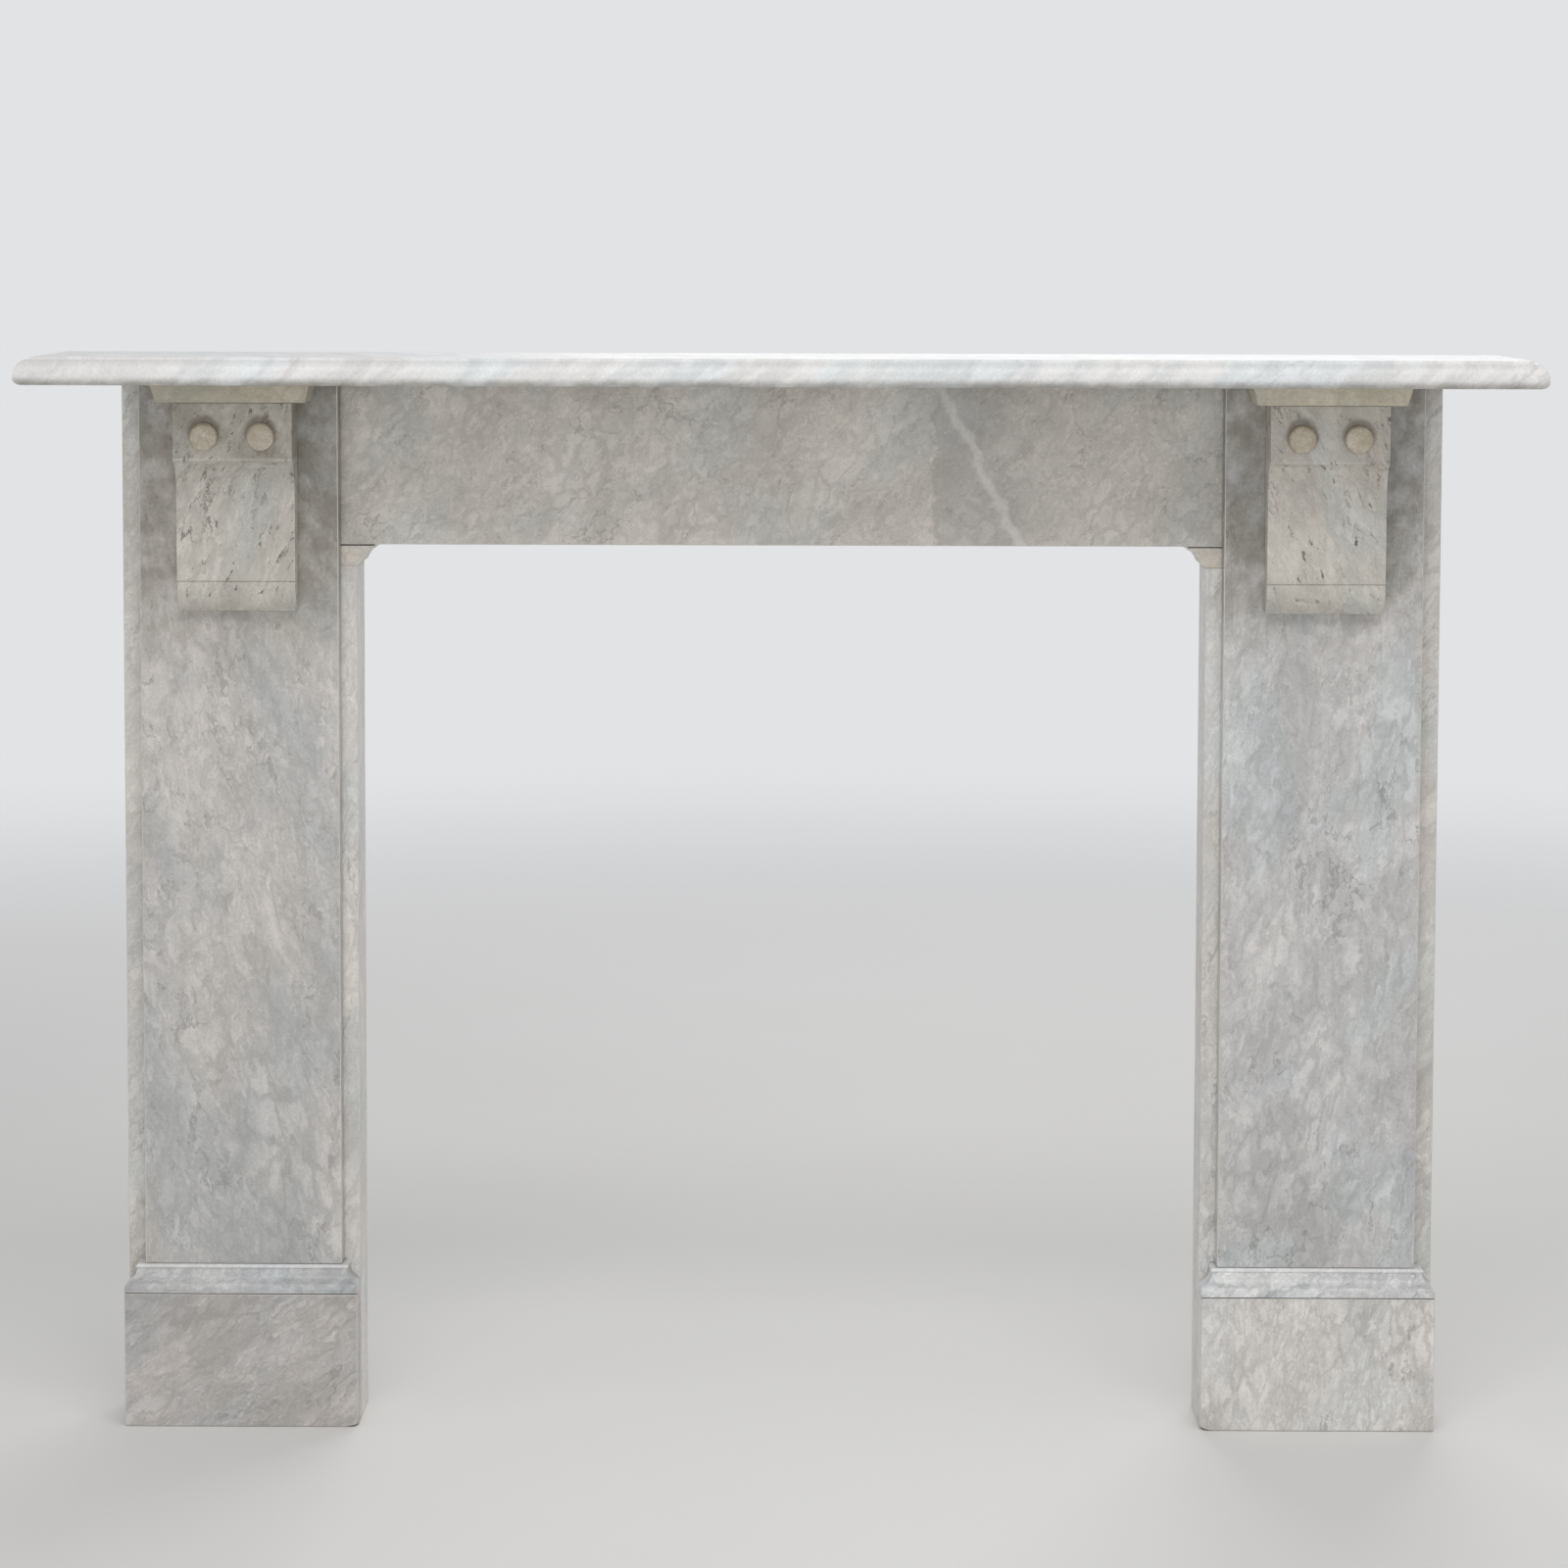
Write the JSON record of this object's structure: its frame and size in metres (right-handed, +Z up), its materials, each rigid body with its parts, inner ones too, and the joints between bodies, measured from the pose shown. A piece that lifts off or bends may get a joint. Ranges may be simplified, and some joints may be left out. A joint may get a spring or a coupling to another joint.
{
  "type": "fireplace mantel",
  "caption": "Marble fireplace mantel: moulded shelf on plain pilaster jambs with carved corbels, frieze, inner returns, plinths and base mouldings.",
  "frame": {"origin": "on the floor, under the middle of the shelf's length and depth", "axes": "+X along the shelf to the viewer's right, -Y out of the front, +Y towards the wall, +Z up; the wall plane is at y = 0.1215"},
  "size_m": [1.535, 0.243, 1.123],
  "materials": {
    "shelf_marble": "polished white Carrara marble with soft grey streaks",
    "frieze_marble": "honed grey-white marble, mottled, with a darker grey patch",
    "pilaster_marble": "honed grey-white marble with a net of fine grey veins",
    "return_marble": "honed grey-white marble, worn edges",
    "plinth_marble": "honed grey-white marble with fine wispy streaks",
    "mould_marble": "polished white marble with grey blotches",
    "corbel_marble": "honed cream-white marble with short dark veins",
    "cap_marble": "honed cream-white marble, yellowed",
    "roundel_marble": "honed cream marble, ochre stained"
  },
  "bodies": {
    "root": {"shelf": "shelf_marble", "frieze": "frieze_marble", "left_pilaster": "pilaster_marble", "right_pilaster": "pilaster_marble", "left_inner_return": "return_marble", "right_inner_return": "return_marble", "left_outer_return": "return_marble", "right_outer_return": "return_marble", "left_return_cap": "cap_marble", "right_return_cap": "cap_marble", "left_plinth": "plinth_marble", "right_plinth": "plinth_marble", "left_base_mould": "mould_marble", "right_base_mould": "mould_marble", "left_corbel": "corbel_marble", "right_corbel": "corbel_marble", "left_corbel_cap": "cap_marble", "right_corbel_cap": "cap_marble", "left_outer_roundel": "roundel_marble", "left_inner_roundel": "roundel_marble", "right_outer_roundel": "roundel_marble", "right_inner_roundel": "roundel_marble"}
  },
  "joints": []
}
